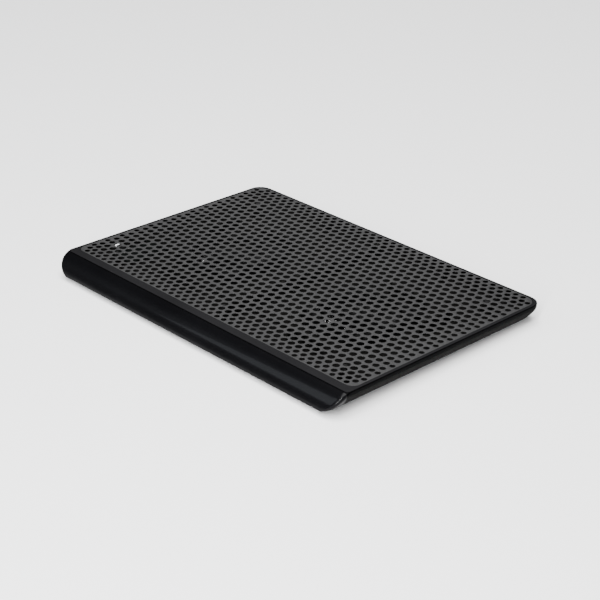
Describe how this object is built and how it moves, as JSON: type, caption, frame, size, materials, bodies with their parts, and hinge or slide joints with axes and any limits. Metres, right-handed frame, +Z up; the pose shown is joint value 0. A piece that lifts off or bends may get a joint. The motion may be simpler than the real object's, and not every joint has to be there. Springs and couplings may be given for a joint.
{
  "type": "laptop cooling pad",
  "caption": "Flat wedge-shaped pad with a perforated metal top, a glossy bull-nosed bar along one long edge and fans inside that blow air up under a laptop.",
  "frame": {"origin": "centre of the footprint on the table, under the rubber feet", "axes": "+X along the glossy bar, +Y away from the bar towards the plain edge, +Z up"},
  "size_m": [0.3814, 0.2709, 0.0227],
  "materials": {
    "sheet_paint": "fine satin powder coat",
    "frame_plastic": "polished skirt, satin face",
    "bar_gloss": "high gloss black",
    "shell_plastic": "fine moulded texture",
    "rubber": "matte",
    "screw_steel": "black zinc plated",
    "stud_steel": "powder coated with the sheet",
    "fan_plastic": "satin",
    "impeller_plastic": "satin",
    "bearing_bronze": "sintered",
    "shaft_steel": "ground",
    "yoke_steel": "drawn, blackened",
    "magnet_ferrite": "bonded ferrite",
    "stator_steel": "laminated",
    "coil_copper": "enamelled copper",
    "board_mask": "black solder mask",
    "clip_plastic": "black nylon",
    "label_film": "black film, blank",
    "inlet_metal": "nickel plated",
    "tongue_plastic": "moulded",
    "switch_plastic": "moulded",
    "knob_plastic": "moulded",
    "connector_plastic": "black nylon",
    "wire_grey": "dark grey PVC insulation",
    "wire_black": "PVC insulation"
  },
  "bodies": {
    "root": {"bar_screws": "screw_steel", "bearing_sleeve_left": "bearing_bronze", "bearing_sleeve_right": "bearing_bronze", "board_screws": "screw_steel", "bottom_shell": "shell_plastic", "case_screws": "screw_steel", "fan_board_left": "board_mask", "fan_board_right": "board_mask", "fan_frame_left": "fan_plastic", "fan_frame_right": "fan_plastic", "fan_label_left": "label_film", "fan_label_right": "label_film", "fan_screws": "screw_steel", "foot_front_left": "rubber", "foot_front_right": "rubber", "foot_rear_left": "rubber", "foot_rear_right": "rubber", "front_bar": "bar_gloss", "header_left": "connector_plastic", "header_right": "connector_plastic", "lead_feed_left": "wire_grey", "lead_feed_right": "wire_grey", "lead_plug_left": "connector_plastic", "lead_plug_right": "connector_plastic", "lead_return_left": "wire_black", "lead_return_right": "wire_black", "perforated_sheet": "sheet_paint", "power_board": "board_mask", "sheet_studs": "stud_steel", "stator_coils_left": "coil_copper", "stator_coils_right": "coil_copper", "stator_core_left": "stator_steel", "stator_core_right": "stator_steel", "stud_screws": "screw_steel", "switch_housing": "switch_plastic", "top_frame": "frame_plastic", "usb_inlet_shell": "inlet_metal", "usb_inlet_tongue": "tongue_plastic"},
    "fan_rotor_left": {"fan_shaft_left": "shaft_steel", "impeller_left": "impeller_plastic", "ring_magnet_left": "magnet_ferrite", "rotor_yoke_left": "yoke_steel", "shaft_clip_left": "clip_plastic"},
    "fan_rotor_right": {"fan_shaft_right": "shaft_steel", "impeller_right": "impeller_plastic", "ring_magnet_right": "magnet_ferrite", "rotor_yoke_right": "yoke_steel", "shaft_clip_right": "clip_plastic"},
    "power_switch": {"switch_knob": "knob_plastic"}
  },
  "joints": [
    {"name": "fan_spin_left", "type": "hinge", "parent": "root", "child": "fan_rotor_left", "pos_m": [-0.088, 0, 0.0115], "axis": [0, 0, 1], "continuous": true},
    {"name": "fan_spin_right", "type": "hinge", "parent": "root", "child": "fan_rotor_right", "pos_m": [0.088, 0, 0.0115], "axis": [0, 0, 1], "continuous": true},
    {"name": "switch_slide", "type": "slide", "parent": "root", "child": "power_switch", "axis": [0, 1, 0], "range_m": [0, 0.002]}
  ]
}
